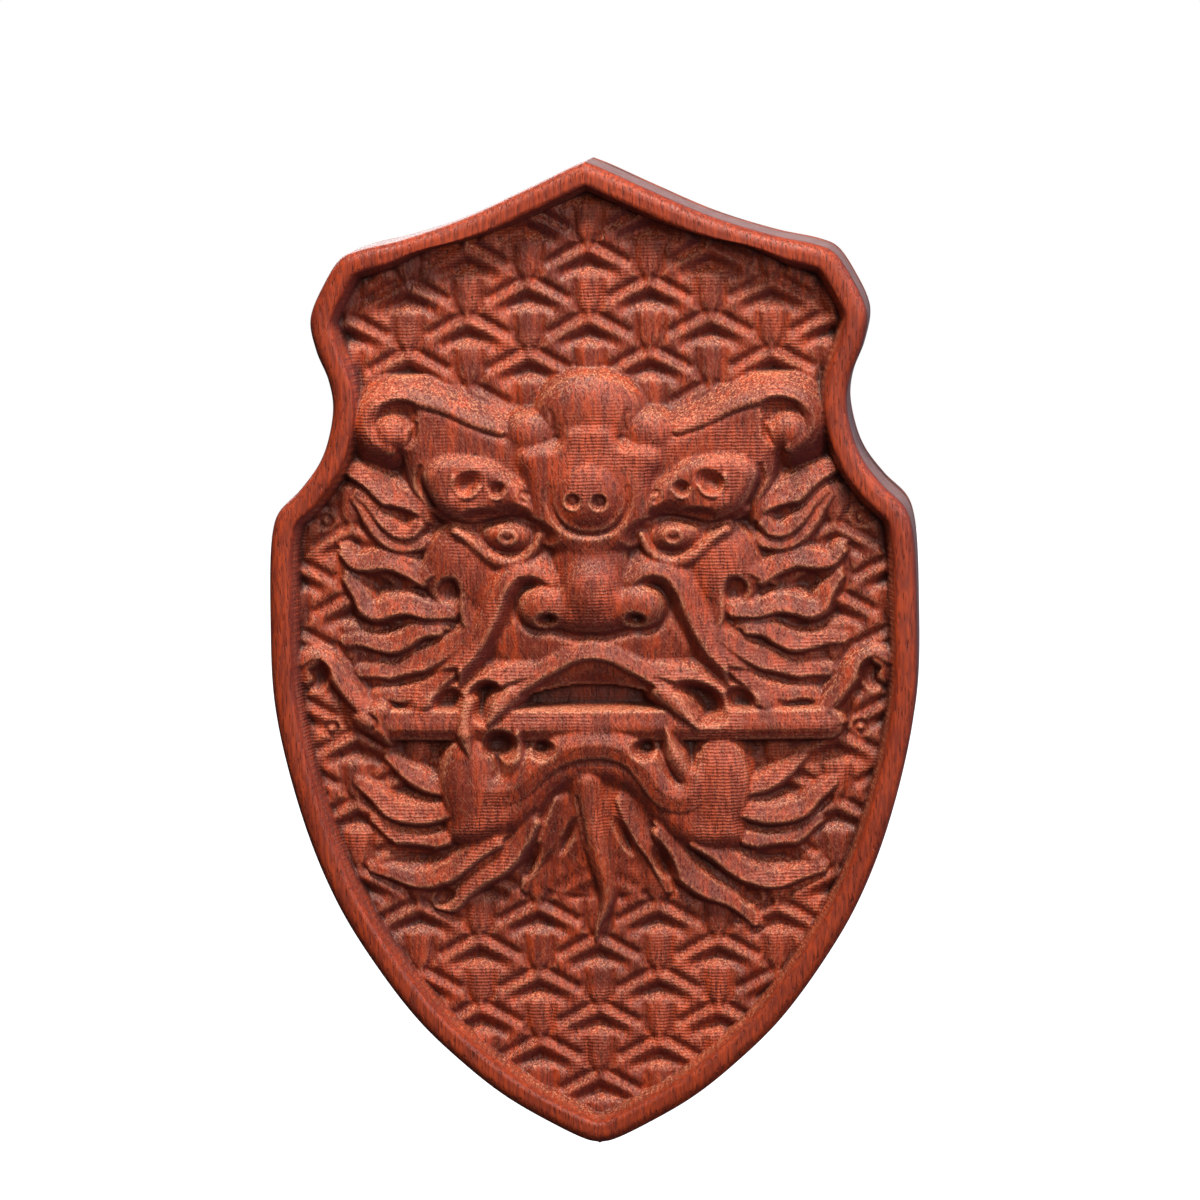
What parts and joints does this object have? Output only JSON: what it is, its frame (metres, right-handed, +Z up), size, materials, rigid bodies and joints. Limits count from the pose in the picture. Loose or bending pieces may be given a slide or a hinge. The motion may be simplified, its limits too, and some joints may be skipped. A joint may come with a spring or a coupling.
{
  "type": "wooden wall plaque",
  "caption": "Shield-shaped carved hardwood wall plaque: a guardian-beast mask biting a sword over an armour-scale ground, with a screwed backing board and a ring hanger.",
  "frame": {"origin": "where the nail leaves the wall: the highest point inside the hanging ring, on the plane of the wall", "axes": "+Z up, +X to the right of someone facing the plaque, +Y into the wall; the carved face looks along -Y"},
  "size_m": [0.063, 0.0173, 0.096],
  "materials": {
    "carved_wood": "oiled, machine-carved red hardwood",
    "board_wood": "sanded, oiled red hardwood",
    "brass": "turned, slightly dull",
    "plated_steel": "nickel-plated, satin",
    "felt": "pressed wool felt"
  },
  "bodies": {
    "plaque": {"carved_front": "carved_wood", "backing_board": "board_wood", "board_screw_upper_left": "brass", "board_screw_upper_right": "brass", "board_screw_lower_left": "brass", "board_screw_lower_right": "brass", "hanger_strap": "plated_steel", "hanger_screw_upper": "plated_steel", "hanger_screw_lower": "plated_steel", "felt_pad_upper_left": "felt", "felt_pad_upper_right": "felt", "felt_pad_lower_left": "felt", "felt_pad_lower_right": "felt"},
    "ring": {"hanging_ring": "plated_steel"}
  },
  "joints": [
    {"name": "ring_swing", "type": "hinge", "parent": "plaque", "child": "ring", "pos_m": [0, -0.00175, -0.0069], "axis": [-1, 0, 0], "range_deg": [0, 176]}
  ]
}
